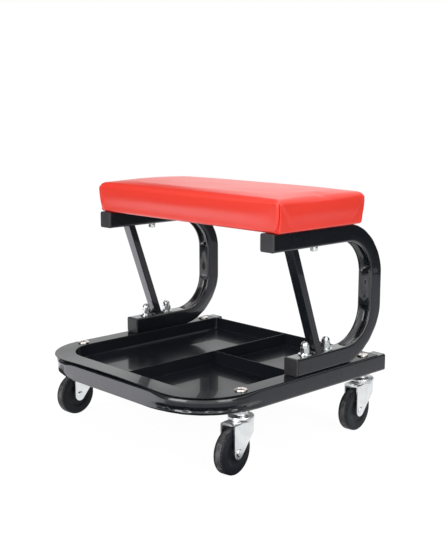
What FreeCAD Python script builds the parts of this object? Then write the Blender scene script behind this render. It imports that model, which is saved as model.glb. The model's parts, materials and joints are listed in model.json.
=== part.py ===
import FreeCAD, Part
import math
import os

# Rolling workshop seat with a tool tray, in millimetres. The origin is on the floor under the
# middle of the base, +Z is up, +X is the sitter's right and -Y is the open front of the side frames.

V = FreeCAD.Vector
UP = V(0, 0, 1)
os.makedirs("parts", exist_ok=True)

# Running and assembly clearances
bolt_clearance = 0.3
slip_clearance = 0.2
running_clearance = 0.05
soft_clearance = 0.3
overrun = 5.0

# Wheels and their bushes and axles
wheel_radius = 31.75
wheel_width = 16.4
wheel_edge_round = 3.2
hub_step = 1.6
hub_radius = 9.0
face_recess = 1.3
face_ring_radius = 18.5
axle_radius = 3.5
axle_head_radius = 5.2
axle_head = 1.8
bush_wall = 2.2

# Caster forks: the wheel trails by caster_trail, its caster's turn in degrees off the -Y direction
caster_trail = 20.0
caster_turns = {"front_left": 5.0, "front_right": 9.0, "rear_left": 7.0, "rear_right": 5.5}
wheel_side_gap = 0.3
wheel_top_gap = 6.9
fork_sheet = 2.0
fork_edge_round = 2.8
fork_crown_radius = 17.8
fork_rear = 13.5
fork_waist = 12.6
fork_waist_drop = 19.2
fork_eye_radius = 9.3
fork_arch = 5.0

# Swivel bearing and kingpin
ball_radius = 2.0
ball_count = 14
ball_pitch_radius = 13.2
race_radius = 18.2
race_sheet = 2.0
race_skirt = 3.2
race_neck_radius = 9.5
race_neck_height = 5.85
kingpin_radius = 6.0
kingpin_head_radius = 9.0
kingpin_head = 2.5

# Square steel tube of the base and the side frames
tube = 25.4
tube_corner = 3.0
tube_wall = 1.5

# Base: a U of square tube, open to the rear
base_width = 388.0
base_depth = 382.0
base_bend_radius = 92.0

# Plastic plugs in the open tube ends
plug_lip = 3.0
plug_lip_round = 1.4
plug_depth = 14.0
plug_wall = 2.0

# Tool tray: a moulding whose flange lies on the base tube
flange_thickness = 1.2
flange_inset = 1.5
flange_edge_round = 0.5
flange_corner_fill = 7.0
rear_rim_width = 3.0
rear_rim_setback = 16.0
tray_depth = 20.0
tray_wall = 2.0
tray_floor = 2.0
tray_side_gap = 1.3
tray_front_gap = 7.6
tray_corner_gap = 11.6
tray_rear_corner = 10.0
divider_thickness = 1.8
divider_drop = 0.8
cross_divider_setback = 169.0

# Side frames: a C of square tube, the free ends to the front
frame_inset = 16.0
frame_height = 205.9
frame_bend_radius = 79.0
frame_rear_setback = 11.7
upper_arm_length = 237.5
lower_arm_length = 187.1

# Struts between the arms of each side frame, with a weld bead at the foot
strut_width = 16.0
strut_thickness = 12.0
strut_corner = 2.0
strut_wall = 1.2
strut_top_setback = 48.2
strut_foot_setback = 52.8
weld_radius = 4.5
weld_length = 14.0

# Bolts that clamp the lower arms, the tray flange and the base together
bolt_radius = 4.0
low_head_radius = 8.8
low_head_height = 3.4
recess_width = 1.5
recess_length = 7.0
recess_depth = 1.6
washer_radius = 10.0
washer_thickness = 1.8
washer_gap = 1.3
spring_washer_radius = 7.0
spring_washer_thickness = 2.0
spring_washer_gap = 1.2
acorn_flats = 13.0
acorn_hex_height = 7.0
acorn_dome_radius = 6.1
acorn_height = 16.0
acorn_end_wall = 4.0
hex_chamfer = 0.8
hex_chamfer_run = 1.3

# Casters on the base, held by low-headed screws through the tray flange and the tube
screw_inset = 15.6
front_screw_setback = 85.4
rear_screw_setback = 37.6

# Bolts that hold the seat on the upper arms
seat_bolt_setback = 96.2
seat_bolt_radius = 3.0
seat_bolt_flats = 10.0
seat_bolt_head = 4.5
seat_washer_radius = 6.2
seat_washer_thickness = 1.6
seat_spring_washer_radius = 5.4
seat_spring_washer_thickness = 1.6
tee_flange_radius = 9.5
tee_flange = 1.2
tee_barrel_radius = 4.2
tee_floor = 1.8

# Seat pad: vinyl over foam on a plywood board
seat_overhang = 19.0
seat_setback = 3.2
seat_depth = 181.0
seat_edge_height = 48.2
seat_crown = 3.6
seat_bulge = 2.8
seat_corner = 5.0
seat_least_corner = 3.0
seat_edge_round = 8.0
vinyl = 1.1
hem_width = 30.0
board_thickness = 12.0

# Height and bulge of each outline of the pad's sides, as shares of the side's height and the bulge
seat_side_shares = ((0.0, 0.0), (0.3, 0.55), (0.6, 0.92), (1.0, 1.0))
# Inset and rise of the outlines of the crowned top, as shares of half the pad's depth and the crown
seat_crown_shares = ((0.27, 0.4), (0.53, 0.78), (0.86, 1.0))

# Widths, places and levels that follow from the sizes above
hub_width = wheel_width + 2 * hub_step
fork_width = hub_width + 2 * wheel_side_gap + 2 * fork_sheet
crown_bottom = 2 * wheel_radius + wheel_top_gap
crown_top = crown_bottom + fork_sheet
race_level = crown_top + 2 * ball_radius + running_clearance
base_height = race_level + race_sheet + race_neck_height
base_top = base_height + tube
flange_top = base_top + flange_thickness
lower_arm_top = flange_top + tube
frame_top = flange_top + frame_height
upper_arm_bottom = frame_top - tube
board_bottom = frame_top + vinyl
board_top = board_bottom + board_thickness
base_front_y = -base_depth / 2
base_rear_y = base_depth / 2
screw_x = base_width / 2 - screw_inset
frame_x = base_width / 2 - frame_inset
frame_rear_y = base_rear_y - frame_rear_setback
upper_arm_front_y = frame_rear_y - upper_arm_length
lower_arm_front_y = frame_rear_y - lower_arm_length
strut_top_y = upper_arm_front_y + strut_top_setback
strut_foot_y = lower_arm_front_y + strut_foot_setback
strut_rise = upper_arm_bottom - lower_arm_top
strut_run = strut_foot_y - strut_top_y
strut_length = math.hypot(strut_rise, strut_run)
strut_half_foot = strut_thickness / 2 * strut_length / strut_rise
arm_bolt_offset = strut_half_foot + weld_radius + washer_gap + washer_radius
seat_half_width = frame_x + seat_overhang
seat_front_y = upper_arm_front_y + seat_setback
seat_rear_y = seat_front_y + seat_depth

sides = {"left": -1, "right": 1}
casters = {
    "front_left": (-screw_x, base_front_y + front_screw_setback),
    "front_right": (screw_x, base_front_y + front_screw_setback),
    "rear_left": (-screw_x, base_rear_y - rear_screw_setback),
    "rear_right": (screw_x, base_rear_y - rear_screw_setback),
}
arm_bolt_ys = (strut_foot_y - arm_bolt_offset, strut_foot_y + arm_bolt_offset)
arm_bolt_places = [(side * frame_x, y) for side in sides.values() for y in arm_bolt_ys]
seat_bolt_y = upper_arm_front_y + seat_bolt_setback
seat_bolt_places = [(side * frame_x, seat_bolt_y) for side in sides.values()]


def save(name, *solids):
    shape = solids[0] if len(solids) == 1 else Part.makeCompound(list(solids))
    shape.exportStep("parts/" + name + ".step")


def cylinder(radius, height, x=0.0, y=0.0, z=0.0):
    return Part.makeCylinder(radius, height, V(x, y, z))


def ring(outer, inner, height, x=0.0, y=0.0, z=0.0):
    return cylinder(outer, height, x, y, z).cut(cylinder(inner, height, x, y, z))


def block(x0, x1, y0, y1, z0, z1):
    return Part.makeBox(x1 - x0, y1 - y0, z1 - z0, V(x0, y0, z0))


def hexagon(flats, height, x=0.0, y=0.0, z=0.0):
    reach = flats / math.sqrt(3)
    corners = [V(x + reach * math.cos(math.pi / 3 * k), y + reach * math.sin(math.pi / 3 * k), z)
               for k in range(7)]
    return Part.Face(Part.makePolygon(corners)).extrude(UP * height)


def turned(points, centre=V(0, 0, 0)):
    # a closed outline of (radius, height) points, turned about a vertical line through centre
    corners = [centre + V(r, 0, z) for r, z in points]
    face = Part.Face(Part.makePolygon(corners + corners[:1]))
    return face.revolve(centre, UP, 360)


def rounded_outline(x0, x1, y0, y1, radii, z=0.0):
    # rectangle with its own radius at each corner, from the low x, low y corner anticlockwise
    r0, r1, r2, r3 = radii

    def corner(x, y, radius, quarter):
        angles = [math.radians(90 * quarter + step) for step in (0, 45, 90)]
        return Part.Arc(*[V(x + radius * math.cos(t), y + radius * math.sin(t), z) for t in angles]).toShape()

    return Part.Wire([
        Part.makeLine(V(x0 + r0, y0, z), V(x1 - r1, y0, z)),
        corner(x1 - r1, y0 + r1, r1, 3),
        Part.makeLine(V(x1, y0 + r1, z), V(x1, y1 - r2, z)),
        corner(x1 - r2, y1 - r2, r2, 0),
        Part.makeLine(V(x1 - r2, y1, z), V(x0 + r3, y1, z)),
        corner(x0 + r3, y1 - r3, r3, 1),
        Part.makeLine(V(x0, y1 - r3, z), V(x0, y0 + r0, z)),
        corner(x0 + r0, y0 + r0, r0, 2),
    ])


def rounded_slab(x0, x1, y0, y1, radii, z0, z1):
    return Part.Face(rounded_outline(x0, x1, y0, y1, radii, z0)).extrude(V(0, 0, z1 - z0))


def square_outline(side, radius):
    return rounded_outline(-side / 2, side / 2, -side / 2, side / 2, (radius,) * 4)


def swept_tube(path, start, direction, across):
    # square tube along a path that starts at start and leaves it along direction
    def run(side, radius):
        outline = square_outline(side, radius)
        turn = FreeCAD.Rotation(across, direction.cross(across), direction, "XYZ")
        outline.Placement = FreeCAD.Placement(start, turn)
        return path.makePipeShell([outline], True, False)
    return run(tube, tube_corner).cut(run(tube - 2 * tube_wall, tube_corner - tube_wall))


def arc_edge(centre, radius, first, second, start, end):
    # arc about centre in the plane of the two unit directions, from start to end degrees
    points = []
    for angle in (start, (start + end) / 2, end):
        t = math.radians(angle)
        points.append(centre + first * (radius * math.cos(t)) + second * (radius * math.sin(t)))
    return Part.Arc(*points).toShape()


def tube_plug():
    # lip on the plane z = 0, its barrel towards -Z
    lip = rounded_slab(-tube / 2, tube / 2, -tube / 2, tube / 2, (tube_corner,) * 4, 0, plug_lip)
    rim = [edge for edge in lip.Edges if abs(edge.BoundBox.ZMin - plug_lip) < tube_wall / 10]
    lip = lip.makeFillet(plug_lip_round, rim)
    size = tube - 2 * tube_wall - 2 * slip_clearance
    corner = tube_corner - tube_wall
    barrel = Part.Face(square_outline(size, corner)).extrude(V(0, 0, -plug_depth))
    hollow = Part.Face(square_outline(size - 2 * plug_wall, corner)).extrude(V(0, 0, -plug_depth))
    return lip.fuse(barrel.cut(hollow))


def placed(shape, x, y, z, turn=FreeCAD.Rotation()):
    copy = shape.copy()
    copy.Placement = FreeCAD.Placement(V(x, y, z), turn).multiply(copy.Placement)
    return copy


facing_front = FreeCAD.Rotation(V(1, 0, 0), 90)
facing_rear = FreeCAD.Rotation(V(1, 0, 0), -90)
head_down = FreeCAD.Rotation(V(1, 0, 0), 180)


def base_holes():
    depth = tube + flange_thickness + 2 * overrun
    return Part.makeCompound([cylinder(bolt_radius + bolt_clearance, depth, x, y, base_height - overrun)
                              for x, y in arm_bolt_places + list(casters.values())])


def base_tube():
    middle = tube / 2
    bend = base_bend_radius - middle
    x, z = base_width / 2 - middle, base_height + middle
    front, rear = base_front_y + middle, base_rear_y - plug_lip
    along_x, along_y = V(1, 0, 0), V(0, 1, 0)
    edges = [
        Part.makeLine(V(x, rear, z), V(x, front + bend, z)),
        arc_edge(V(x - bend, front + bend, z), bend, along_x, along_y, 0, -90),
        Part.makeLine(V(x - bend, front, z), V(bend - x, front, z)),
        arc_edge(V(bend - x, front + bend, z), bend, along_x, along_y, -90, -180),
        Part.makeLine(V(-x, front + bend, z), V(-x, rear, z)),
    ]
    tube_u = swept_tube(Part.Wire(edges), V(x, rear, z), V(0, -1, 0), V(1, 0, 0))
    return tube_u.cut(base_holes())


def tool_tray():
    outer_x = base_width / 2 - flange_inset
    outer_front = base_front_y + flange_inset
    outer_rear = base_rear_y - rear_rim_setback
    outer_corner = base_bend_radius - flange_corner_fill
    flange = rounded_slab(-outer_x, outer_x, outer_front, outer_rear,
                          (outer_corner, outer_corner, tube_corner, tube_corner), base_top, flange_top)
    rim = [edge for edge in flange.Edges if edge.BoundBox.ZMin > base_top + flange_thickness / 2]
    flange = flange.makeFillet(flange_edge_round, rim)
    well_x = base_width / 2 - tube - tray_side_gap - tray_wall
    well_front = base_front_y + tube + tray_front_gap + tray_wall
    well_rear = outer_rear - rear_rim_width
    well_corner = base_bend_radius - tube - tray_corner_gap - tray_wall
    floor_level = flange_top - tray_depth
    inner = (well_corner, well_corner, tray_rear_corner, tray_rear_corner)
    outer = tuple(radius + tray_wall for radius in inner)
    shell = rounded_slab(-well_x - tray_wall, well_x + tray_wall, well_front - tray_wall,
                         well_rear + tray_wall, outer, floor_level - tray_floor, base_top)
    well = rounded_slab(-well_x, well_x, well_front, well_rear, inner, floor_level, flange_top)
    tray = flange.fuse(shell).cut(well)
    half = divider_thickness / 2
    divider_top = flange_top - divider_drop
    long_divider = block(-half, half, well_front, well_rear, floor_level, divider_top)
    cross_y = well_front + cross_divider_setback
    cross_divider = block(0, well_x, cross_y - half, cross_y + half, floor_level, divider_top)
    tray = tray.fuse([long_divider.common(well), cross_divider.common(well)])
    return tray.removeSplitter().cut(base_holes())


def side_frame():
    # right-hand side frame, centred on x = 0
    middle = tube / 2
    bend = frame_bend_radius - middle
    low, high = flange_top + middle, frame_top - middle
    rear = frame_rear_y - middle
    y_axis = V(0, 1, 0)
    edges = [
        Part.makeLine(V(0, upper_arm_front_y + plug_lip, high), V(0, rear - bend, high)),
        arc_edge(V(0, rear - bend, high - bend), bend, y_axis, UP, 90, 0),
        Part.makeLine(V(0, rear, high - bend), V(0, rear, low + bend)),
        arc_edge(V(0, rear - bend, low + bend), bend, y_axis, UP, 0, -90),
        Part.makeLine(V(0, rear - bend, low), V(0, lower_arm_front_y + plug_lip, low)),
    ]
    start = V(0, upper_arm_front_y + plug_lip, high)
    frame = swept_tube(Part.Wire(edges), start, y_axis, V(1, 0, 0))
    depth = tube + 2 * overrun
    holes = [cylinder(bolt_radius + bolt_clearance, depth, 0, y, flange_top - overrun) for y in arm_bolt_ys]
    seat_hole = seat_bolt_radius + bolt_clearance
    holes.append(cylinder(seat_hole, depth, 0, seat_bolt_y, upper_arm_bottom - overrun))
    return frame.cut(Part.makeCompound(holes))


def strut():
    # leaning tube, cut flat on the two arms, centred on x = 0
    lean = FreeCAD.Rotation(V(1, 0, 0), math.degrees(math.atan2(strut_run, strut_rise)))

    def bar(width, thickness, radius):
        outline = rounded_outline(-width / 2, width / 2, -thickness / 2, thickness / 2, (radius,) * 4)
        solid = Part.Face(outline).extrude(UP * (strut_length + 2 * strut_thickness))
        start = V(0, strut_foot_y, lower_arm_top) - lean.multVec(UP) * strut_thickness
        return placed(solid, start.x, start.y, start.z, lean)

    hollow = bar(strut_width - 2 * strut_wall, strut_thickness - 2 * strut_wall, strut_corner - strut_wall)
    between = block(-strut_width, strut_width, upper_arm_front_y, frame_rear_y,
                    lower_arm_top, upper_arm_bottom)
    brace = bar(strut_width, strut_thickness, strut_corner).cut(hollow)
    weld_start = V(-weld_length / 2, strut_foot_y - strut_half_foot, lower_arm_top)
    weld = Part.makeCylinder(weld_radius, weld_length, weld_start, V(1, 0, 0)).cut(hollow)
    return brace.fuse(weld).common(between).removeSplitter()


def chamfered_hexagon(flats, height, upper=True, lower=False):
    # hexagon whose corners are turned off at its ends
    reach = flats / math.sqrt(3)
    low = [(reach - hex_chamfer_run, 0), (reach, hex_chamfer)] if lower else [(reach, 0)]
    high = [(reach, height - hex_chamfer), (reach - hex_chamfer_run, height)] if upper else [(reach, height)]
    return hexagon(flats, height).common(turned([(0, 0)] + low + high + [(0, height)]))


def acorn_nut():
    body = chamfered_hexagon(acorn_flats, acorn_hex_height)
    dome_z = acorn_height - acorn_dome_radius
    neck = cylinder(acorn_dome_radius, dome_z)
    dome = Part.makeSphere(acorn_dome_radius, V(0, 0, dome_z))
    upper = cylinder(acorn_flats, acorn_height, 0, 0, acorn_hex_height / 2)
    bore = cylinder(bolt_radius + running_clearance, acorn_height - acorn_end_wall)
    return body.fuse(neck).fuse(dome.common(upper)).removeSplitter().cut(bore)


def hex_bolt(radius, length, flats, head):
    # head below z = 0, shank upwards
    bolt_head = placed(chamfered_hexagon(flats, head, upper=False, lower=True), 0, 0, -head)
    return bolt_head.fuse(cylinder(radius, length))


def spring_washer(outer, bolt, thickness):
    body = ring(outer, bolt + bolt_clearance, thickness)
    return body.cut(block(0, 2 * outer, -spring_washer_gap / 2, spring_washer_gap / 2, 0, thickness))


def pad(shrink):
    # crowned pad with drawn-in sides and a rounded upper edge, everywhere smaller by shrink
    edge_start = frame_top + seat_edge_height - seat_edge_round
    edge_radius = seat_edge_round - shrink

    def section(out, z):
        radius = max(seat_corner + out, seat_least_corner)
        return rounded_outline(-seat_half_width - out, seat_half_width + out, seat_front_y - out,
                               seat_rear_y + out, (radius,) * 4, z)

    wires = []
    for height_share, bulge_share in seat_side_shares:
        z = frame_top + shrink + (edge_start - frame_top - shrink) * height_share
        wires.append(section(seat_bulge * bulge_share - shrink, z))
    for angle in (30, 60, 90):
        t = math.radians(angle)
        out = seat_bulge - shrink - edge_radius * (1 - math.cos(t))
        wires.append(section(out, edge_start + edge_radius * math.sin(t)))
    for inset_share, rise_share in seat_crown_shares:
        out = -shrink - seat_depth / 2 * inset_share
        wires.append(section(out, edge_start + edge_radius + seat_crown * rise_share))
    return Part.makeLoft(wires, True, True)


def seat_cover():
    opening = block(-seat_half_width + hem_width, seat_half_width - hem_width, seat_front_y + hem_width,
                    seat_rear_y - hem_width, frame_top - overrun, board_bottom + overrun)
    bolt_holes = [cylinder(seat_bolt_radius + bolt_clearance, 2 * overrun, x, y, frame_top - overrun)
                  for x, y in seat_bolt_places]
    return pad(0).cut(pad(vinyl)).cut(Part.makeCompound([opening] + bolt_holes))


def seat_foam():
    under_foam = block(-2 * seat_half_width, 2 * seat_half_width, seat_front_y - seat_depth,
                       seat_rear_y + seat_depth, frame_top, board_top + soft_clearance)
    return pad(vinyl + soft_clearance).cut(under_foam)


tee_seat = board_top - tee_flange
tee_barrel = board_thickness - tee_flange - tee_floor


def seat_board():
    gap = vinyl + soft_clearance
    half_width = seat_half_width - gap
    board = rounded_slab(-half_width, half_width, seat_front_y + gap, seat_rear_y - gap,
                         (seat_corner - gap,) * 4, board_bottom, board_top)
    for x, y in seat_bolt_places:
        steps = ((seat_bolt_radius + bolt_clearance, board_bottom),
                 (tee_barrel_radius + slip_clearance, tee_seat - tee_barrel),
                 (tee_flange_radius + slip_clearance, tee_seat))
        for radius, level in steps:
            board = board.cut(cylinder(radius, board_top - level, x, y, level))
    return board


def tee_nut():
    # flange on z = 0, barrel downwards
    barrel = cylinder(tee_barrel_radius, tee_barrel, 0, 0, -tee_barrel)
    bore = cylinder(seat_bolt_radius + running_clearance, tee_barrel + tee_flange, 0, 0, -tee_barrel)
    return cylinder(tee_flange_radius, tee_flange).fuse(barrel).cut(bore)


def low_head_screw(length):
    # domed head on z = 0 with a cross recess, shank downwards
    rise = low_head_height
    sphere_radius = (low_head_radius ** 2 + rise ** 2) / (2 * rise)
    head = Part.makeSphere(sphere_radius, V(0, 0, rise - sphere_radius))
    head = head.common(cylinder(low_head_radius, rise))
    a, b = recess_length / 2, recess_width / 2
    recess = [block(-a, a, -b, b, rise - recess_depth, rise), block(-b, b, -a, a, rise - recess_depth, rise)]
    return head.cut(Part.makeCompound(recess)).fuse(cylinder(bolt_radius, length, 0, 0, -length))


def caster_race():
    # pressed upper cup with its neck up to the tube and a skirt around the balls
    top = race_level + race_sheet
    skirt_inner = race_radius - race_sheet
    bore = kingpin_radius + running_clearance
    return turned([
        (bore, race_level),
        (skirt_inner, race_level),
        (skirt_inner, race_level - race_skirt),
        (race_radius, race_level - race_skirt),
        (race_radius, top - race_sheet / 2),
        (race_radius - race_sheet / 2, top),
        (race_neck_radius + race_sheet, top),
        (race_neck_radius, top + race_sheet),
        (race_neck_radius, base_height),
        (bore, base_height),
    ])


def caster_balls():
    radius = ball_radius - running_clearance / 2
    ball = Part.makeSphere(radius, V(ball_pitch_radius, 0, (crown_top + race_level) / 2))
    return [placed(ball, 0, 0, 0, FreeCAD.Rotation(UP, 360 * k / ball_count)) for k in range(ball_count)]


def caster_kingpin():
    bore = bolt_radius + running_clearance
    head_top = crown_bottom - running_clearance
    return turned([
        (bore, crown_bottom - kingpin_head),
        (kingpin_head_radius - kingpin_head / 2, crown_bottom - kingpin_head),
        (kingpin_head_radius, crown_bottom - kingpin_head / 2),
        (kingpin_head_radius, head_top),
        (kingpin_radius, head_top),
        (kingpin_radius, base_height),
        (bore, base_height),
    ])


def caster_fork():
    # trails towards -Y, with its two legs square to X and a round crown
    eye = V(0, -caster_trail, wheel_radius)
    waist = V(0, fork_waist, crown_top - fork_waist_drop)
    to_waist = waist - eye
    turn = math.atan2(to_waist.z, to_waist.y) - math.acos(fork_eye_radius / to_waist.Length)

    def on_eye(angle):
        return eye + V(0, fork_eye_radius * math.cos(angle), fork_eye_radius * math.sin(angle))

    touch, lowest, front = on_eye(turn), on_eye((turn - math.pi) / 2), on_eye(-math.pi)
    top_front, top_rear = V(0, front.y, crown_top), V(0, fork_rear, crown_top)
    side = Part.Wire([
        Part.makeLine(top_rear, waist),
        Part.makeLine(waist, touch),
        Part.Arc(touch, lowest, front).toShape(),
        Part.makeLine(front, top_front),
        Part.makeLine(top_front, top_rear),
    ])
    half, inner = fork_width / 2, fork_width / 2 - fork_sheet
    solid = placed(Part.Face(side).extrude(V(fork_width, 0, 0)), -half, 0, 0)
    long_edges = [edge for edge in solid.Edges
                  if edge.BoundBox.ZMin > crown_bottom and edge.BoundBox.YLength > fork_rear]
    solid = solid.makeFillet(fork_edge_round, long_edges)
    slot = block(-inner, inner, 2 * front.y, -2 * front.y, 0, crown_bottom)
    arch = cylinder(inner, fork_sheet + overrun, 0, front.y - half + fork_arch, crown_bottom - overrun / 2)
    dish = turned([
        (0, crown_bottom),
        (fork_crown_radius - fork_sheet, crown_bottom),
        (fork_crown_radius, crown_bottom + fork_sheet / 2),
        (fork_crown_radius, crown_top),
        (0, crown_top),
    ])
    fork = solid.cut(slot).cut(arch).fuse(dish).removeSplitter()
    king_hole = cylinder(kingpin_radius + running_clearance, 2 * overrun, 0, 0, crown_bottom - overrun)
    axle_hole = Part.makeCylinder(axle_radius + running_clearance, 2 * fork_width,
                                  eye - V(fork_width, 0, 0), V(1, 0, 0))
    return fork.cut(king_hole).cut(axle_hole)


def lying(outline):
    # an outline of (radius, distance along X) points, turned about the wheel's axle line
    corners = [V(x, -caster_trail, wheel_radius + radius) for radius, x in outline]
    face = Part.Face(Part.makePolygon(corners + corners[:1]))
    return face.revolve(V(0, -caster_trail, wheel_radius), V(1, 0, 0), 360)


def both_sides(outline):
    return lying(outline + [(radius, -x) for radius, x in reversed(outline)])


def caster_wheel():
    half = wheel_width / 2
    bore = axle_radius + bush_wall + 2 * running_clearance
    wheel = both_sides([
        (bore, hub_width / 2),
        (hub_radius, hub_width / 2),
        (hub_radius + face_recess, half - face_recess),
        (face_ring_radius, half - face_recess),
        (face_ring_radius + face_recess, half),
        (wheel_radius, half),
    ])
    rim = [edge for edge in wheel.Edges if edge.BoundBox.ZLength > 2 * wheel_radius - face_recess]
    return wheel.makeFillet(wheel_edge_round, rim)


def caster_bush():
    inner = axle_radius + running_clearance
    half = fork_width / 2 - fork_sheet - running_clearance
    return both_sides([(inner, half), (inner + bush_wall, half)])


def caster_axle():
    # rivet with a head on each leg
    half = fork_width / 2
    return both_sides([
        (0, half + axle_head),
        (axle_head_radius - axle_head / 2, half + axle_head),
        (axle_head_radius, half + axle_head / 2),
        (axle_head_radius, half),
        (axle_radius, half),
    ])


# Base and tray
save("base_tube", base_tube())
plug = tube_plug()
for side_name, side in sides.items():
    x = side * (base_width - tube) / 2
    save("base_end_cap_" + side_name,
         placed(plug, x, base_rear_y - plug_lip, base_height + tube / 2, facing_rear))
save("tool_tray", tool_tray())

# Side frames with their struts and plugs
frame, brace = side_frame(), strut()
for side_name, side in sides.items():
    x = side * frame_x
    save("side_frame_" + side_name, placed(frame, x, 0, 0))
    save("strut_" + side_name, placed(brace, x, 0, 0))
    save("upper_arm_cap_" + side_name,
         placed(plug, x, upper_arm_front_y + plug_lip, frame_top - tube / 2, facing_front))
    save("lower_arm_cap_" + side_name,
         placed(plug, x, lower_arm_front_y + plug_lip, flange_top + tube / 2, facing_front))

# Fasteners of the lower arms, from the bolt heads under the base up to the acorn nuts
spring_level = lower_arm_top + washer_thickness
nut_level = spring_level + spring_washer_thickness
arm_bolt_length = nut_level + acorn_height - acorn_end_wall - base_height
arm_bolt = placed(low_head_screw(arm_bolt_length), 0, 0, 0, head_down)
arm_washer = ring(washer_radius, bolt_radius + bolt_clearance, washer_thickness)
arm_spring = spring_washer(spring_washer_radius, bolt_radius, spring_washer_thickness)
arm_fasteners = {
    "arm_bolts": (arm_bolt, base_height),
    "arm_bolt_washers": (arm_washer, lower_arm_top),
    "arm_bolt_spring_washers": (arm_spring, spring_level),
    "acorn_nuts": (acorn_nut(), nut_level),
}
for name, (piece, level) in arm_fasteners.items():
    save(name, *[placed(piece, x, y, level) for x, y in arm_bolt_places])

# Seat pad, board and the bolts that hold them
save("seat_cover", seat_cover())
save("seat_foam", seat_foam())
save("seat_board", seat_board())
seat_washer_level = upper_arm_bottom - seat_washer_thickness
seat_head_level = seat_washer_level - seat_spring_washer_thickness
seat_bolt = hex_bolt(seat_bolt_radius, tee_seat - seat_head_level, seat_bolt_flats, seat_bolt_head)
seat_spring = spring_washer(seat_spring_washer_radius, seat_bolt_radius, seat_spring_washer_thickness)
seat_washer = ring(seat_washer_radius, seat_bolt_radius + bolt_clearance, seat_washer_thickness)
seat_fasteners = {
    "seat_bolts": (seat_bolt, seat_head_level),
    "seat_bolt_spring_washers": (seat_spring, seat_head_level),
    "seat_bolt_washers": (seat_washer, seat_washer_level),
    "seat_tee_nuts": (tee_nut(), tee_seat),
}
for name, (piece, level) in seat_fasteners.items():
    save(name, *[placed(piece, x, y, level) for x, y in seat_bolt_places])

# Casters: the screws hold the kingpins, the forks swivel round them and the wheels turn in the forks
caster_screw = low_head_screw(flange_top - crown_bottom + kingpin_head)
save("caster_screws", *[placed(caster_screw, x, y, flange_top) for x, y in casters.values()])
caster_pieces = {
    "race": [caster_race()],
    "balls": caster_balls(),
    "kingpin": [caster_kingpin()],
    "fork": [caster_fork()],
    "axle": [caster_axle()],
    "bush": [caster_bush()],
    "wheel": [caster_wheel()],
}
for caster_name, (x, y) in casters.items():
    turn = FreeCAD.Rotation(UP, caster_turns[caster_name])
    for piece_name, solids in caster_pieces.items():
        save(caster_name + "_" + piece_name, *[placed(solid, x, y, 0, turn) for solid in solids])
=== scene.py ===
import json
import math

import bmesh
import bpy
from mathutils import Matrix, Vector
from mathutils.kdtree import KDTree

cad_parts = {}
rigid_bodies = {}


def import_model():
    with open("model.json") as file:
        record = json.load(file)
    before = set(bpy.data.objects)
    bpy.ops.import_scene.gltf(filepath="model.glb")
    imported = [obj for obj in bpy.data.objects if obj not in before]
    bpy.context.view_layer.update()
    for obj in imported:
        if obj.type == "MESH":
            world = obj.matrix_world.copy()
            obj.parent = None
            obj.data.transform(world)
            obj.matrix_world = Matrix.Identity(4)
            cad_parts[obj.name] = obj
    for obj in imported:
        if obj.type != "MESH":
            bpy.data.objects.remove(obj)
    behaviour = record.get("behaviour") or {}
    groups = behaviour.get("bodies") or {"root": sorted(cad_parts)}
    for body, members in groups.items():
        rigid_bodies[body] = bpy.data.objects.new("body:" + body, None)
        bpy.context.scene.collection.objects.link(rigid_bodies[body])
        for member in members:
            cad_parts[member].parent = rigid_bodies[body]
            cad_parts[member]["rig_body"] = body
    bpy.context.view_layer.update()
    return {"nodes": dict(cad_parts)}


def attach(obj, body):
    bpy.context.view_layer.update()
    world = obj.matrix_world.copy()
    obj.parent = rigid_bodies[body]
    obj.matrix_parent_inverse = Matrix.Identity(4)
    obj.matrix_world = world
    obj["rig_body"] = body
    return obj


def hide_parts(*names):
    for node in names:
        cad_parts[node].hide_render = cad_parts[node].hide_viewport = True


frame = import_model()
nodes = frame["nodes"]
scene = bpy.context.scene
corners = ("front_left", "front_right", "rear_left", "rear_right")


def addObject(name, data):
    item = bpy.data.objects.new(name, data)
    scene.collection.objects.link(item)
    return item


# the camera stands at the photograph's angle
view = {"around": 46.28, "up": 10.53, "distance": 1.4741, "aim": (0.00919, 0.0239, 0.22209), "lens": 62.07,
        "sensor": 36, "near": 0.05, "far": 30}


def setCamera():
    turn, lift = math.radians(view["around"]), math.radians(view["up"])
    away = Vector((math.sin(turn) * math.cos(lift), -math.cos(turn) * math.cos(lift), math.sin(lift)))
    lens = bpy.data.cameras.new("camera")
    lens.lens, lens.sensor_width = view["lens"], view["sensor"]
    lens.clip_start, lens.clip_end = view["near"], view["far"]
    camera = addObject("camera", lens)
    camera.location = Vector(view["aim"]) + away * view["distance"]
    camera.rotation_euler = (-away).to_track_quat("-Z", "Y").to_euler()
    scene.camera = camera


setCamera()
print("camera set")


class Wire:
    # a shader socket: expressions on it add the nodes
    def __init__(self, tree, socket=None):
        self.tree, self.socket = tree, socket

    def node(self, kind, settings=None, sockets=None, out=0):
        made = self.tree.nodes.new(kind)
        for key, value in (settings or {}).items():
            setattr(made, key, value)
        for key, value in (sockets or {}).items():
            if isinstance(value, Wire):
                self.tree.links.new(value.socket, made.inputs[key])
            else:
                made.inputs[key].default_value = value
        return Wire(self.tree, made.outputs[out] if len(made.outputs) else None)

    def maths(self, operation, first, second=0.0):
        return self.node("ShaderNodeMath", {"operation": operation}, {0: first, 1: second})

    def __add__(self, other):
        return self.maths("ADD", self, other)

    def __sub__(self, other):
        return self.maths("SUBTRACT", self, other)

    def __rsub__(self, other):
        return self.maths("SUBTRACT", other, self)

    def __mul__(self, other):
        return self.maths("MULTIPLY", self, other)

    def __pow__(self, other):
        return self.maths("POWER", self, other)

    __radd__, __rmul__ = __add__, __mul__


def ramp(wire, low, high):
    # 0 at low and 1 at high, eased
    return wire.node("ShaderNodeMapRange", {"interpolation_type": "SMOOTHSTEP"},
                     {"Value": wire, "From Min": low, "From Max": high})


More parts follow.
